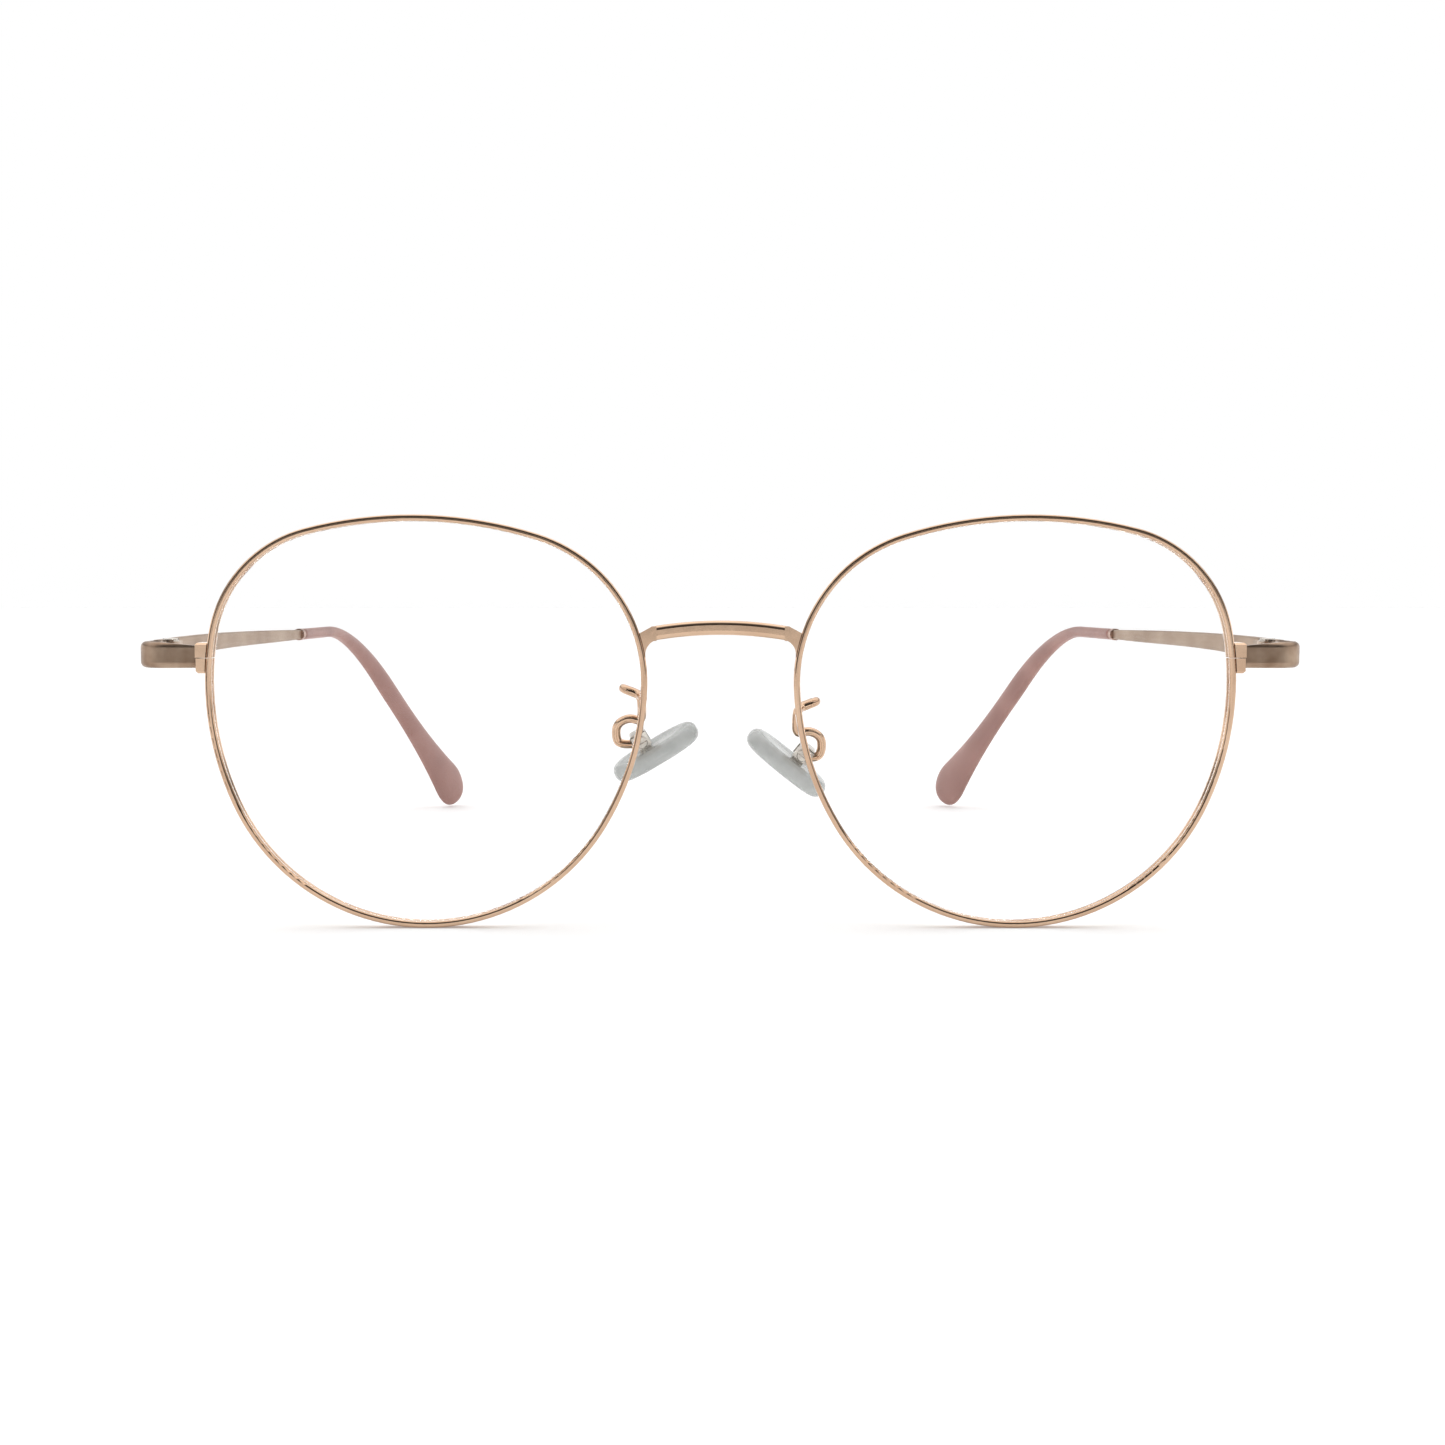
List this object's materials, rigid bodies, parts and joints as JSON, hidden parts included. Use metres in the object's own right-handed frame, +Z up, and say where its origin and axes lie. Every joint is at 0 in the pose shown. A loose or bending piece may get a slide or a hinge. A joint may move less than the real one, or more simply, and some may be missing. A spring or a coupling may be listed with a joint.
{
  "type": "eyeglasses",
  "caption": "Full-rim metal eyeglasses with thin eyewires, an arched bridge, clear lenses, adjustable nose pads and folding temples with plastic tips.",
  "frame": {"origin": "on the table, under the middle of the open eyeglasses' bounding box", "axes": "+X to the wearer's left, +Y to the rear along the open temples, +Z up; the lenses face -Y"},
  "size_m": [0.1418, 0.1338, 0.0502],
  "materials": {
    "polished_rose_gold": "polished rose-gold plating",
    "brushed_metal": "brushed rose-gold plating",
    "hinge_metal": "satin plated nickel silver",
    "collar": "satin rose-brown",
    "screw": "turned steel",
    "pad_metal": "bright nickel silver",
    "tip_plastic": "smooth dusty-pink acetate",
    "pad_plastic": "clear soft plastic",
    "lens": "clear coated lens"
  },
  "bodies": {
    "front": {"bridge": "polished_rose_gold", "right_rim": "polished_rose_gold", "right_lens": "lens", "right_end_piece": "brushed_metal", "right_rim_lock_upper": "polished_rose_gold", "right_rim_lock_lower": "polished_rose_gold", "right_rim_lock_screw": "screw", "right_front_hinge": "hinge_metal", "right_hinge_screw": "screw", "right_pad_box": "pad_metal", "right_pad_screw": "screw", "right_pad_arm": "polished_rose_gold", "left_rim": "polished_rose_gold", "left_lens": "lens", "left_end_piece": "brushed_metal", "left_rim_lock_upper": "polished_rose_gold", "left_rim_lock_lower": "polished_rose_gold", "left_rim_lock_screw": "screw", "left_front_hinge": "hinge_metal", "left_hinge_screw": "screw", "left_pad_box": "pad_metal", "left_pad_screw": "screw", "left_pad_arm": "polished_rose_gold"},
    "right_temple": {"right_temple_hinge": "hinge_metal", "right_temple_arm": "brushed_metal", "right_tip_collar": "collar", "right_temple_tip": "tip_plastic"},
    "left_temple": {"left_temple_hinge": "hinge_metal", "left_temple_arm": "brushed_metal", "left_tip_collar": "collar", "left_temple_tip": "tip_plastic"},
    "right_pad": {"right_nose_pad": "pad_plastic", "right_pad_insert": "pad_metal"},
    "left_pad": {"left_nose_pad": "pad_plastic", "left_pad_insert": "pad_metal"}
  },
  "joints": [
    {"name": "left_temple_fold", "type": "hinge", "parent": "front", "child": "left_temple", "pos_m": [0.0686, -0.05728, 0.0333], "axis": [0, 0, 1], "range_deg": [0, 81]},
    {"name": "right_temple_fold", "type": "hinge", "parent": "front", "child": "right_temple", "pos_m": [-0.0686, -0.05728, 0.0333], "axis": [0, 0, -1], "range_deg": [0, 74]},
    {"name": "left_pad_tilt", "type": "hinge", "parent": "front", "child": "left_pad", "pos_m": [0.01057, -0.05734, 0.02064], "axis": [0.0876, 0.9903, 0.1082], "range_deg": [-12, 12]},
    {"name": "right_pad_tilt", "type": "hinge", "parent": "front", "child": "right_pad", "pos_m": [-0.00978, -0.05734, 0.02232], "axis": [-0.0717, 0.9903, 0.1193], "range_deg": [-12, 12]}
  ]
}
